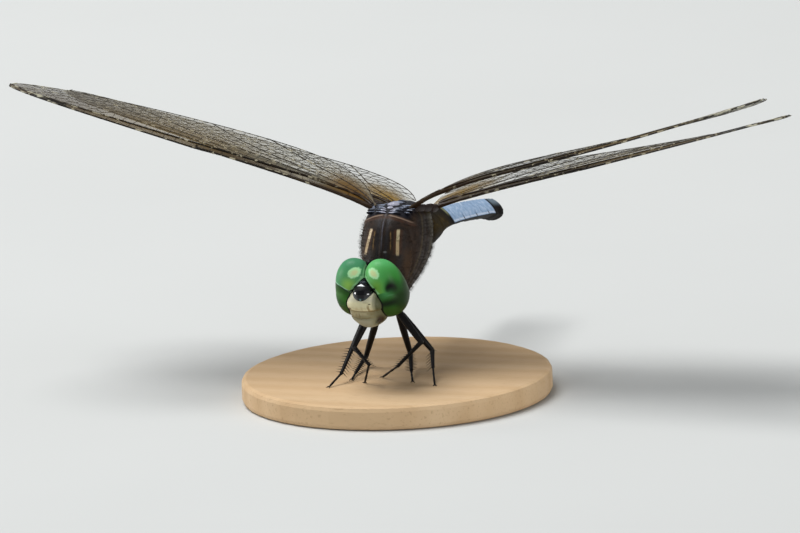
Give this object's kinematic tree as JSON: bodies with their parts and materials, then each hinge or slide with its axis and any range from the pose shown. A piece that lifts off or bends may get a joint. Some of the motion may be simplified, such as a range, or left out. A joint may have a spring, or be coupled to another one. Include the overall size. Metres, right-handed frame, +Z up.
{
  "type": "dragonfly",
  "caption": "Life-size dragonfly with spread, slightly raised wings and a pale blue abdomen, standing on a plain round wooden base.",
  "frame": {"origin": "centre of the underside of the round wooden base", "axes": "+Z up, -Y the way the head faces, +X towards the insect's own left"},
  "size_m": [0.066, 0.042, 0.0264],
  "materials": {
    "eye": "polished, with a green to teal sheen",
    "face": "smooth, cream",
    "frons": "polished black",
    "shell": "dark brown shell with cream stripes and short hair",
    "bloom": "powdery pale blue",
    "tail": "satin black",
    "leg": "satin black",
    "wing": "clear membrane with dark veins",
    "wood": "oiled pale hardwood"
  },
  "bodies": {
    "root": {"stand_base": "wood", "eye_left": "eye", "eye_right": "eye", "vertex": "frons", "frons": "frons", "clypeus": "face", "labrum": "face", "labium": "face", "occiput": "shell", "antenna_left": "leg", "antenna_right": "leg", "prothorax": "shell", "thorax": "shell", "abdomen_segment_01": "shell", "abdomen_segment_02": "shell", "abdomen_segment_03": "shell", "abdomen_segment_04": "bloom", "abdomen_segment_05": "bloom", "abdomen_segment_06": "bloom", "abdomen_segment_07": "bloom", "abdomen_segment_08": "tail", "abdomen_segment_09": "tail", "abdomen_segment_10": "tail", "cercus_left": "tail", "cercus_right": "tail", "epiproct": "tail", "fore_wing_left": "wing", "fore_wing_right": "wing", "hind_wing_left": "wing", "hind_wing_right": "wing", "front_leg_left_femur": "leg", "front_leg_left_tibia": "leg", "front_leg_left_tarsus": "leg", "front_leg_right_femur": "leg", "front_leg_right_tibia": "leg", "front_leg_right_tarsus": "leg", "middle_leg_left_femur": "leg", "middle_leg_left_tibia": "leg", "middle_leg_left_tarsus": "leg", "middle_leg_right_femur": "leg", "middle_leg_right_tibia": "leg", "middle_leg_right_tarsus": "leg", "hind_leg_left_femur": "leg", "hind_leg_left_tibia": "leg", "hind_leg_left_tarsus": "leg", "hind_leg_right_femur": "leg", "hind_leg_right_tibia": "leg", "hind_leg_right_tarsus": "leg"}
  },
  "joints": []
}
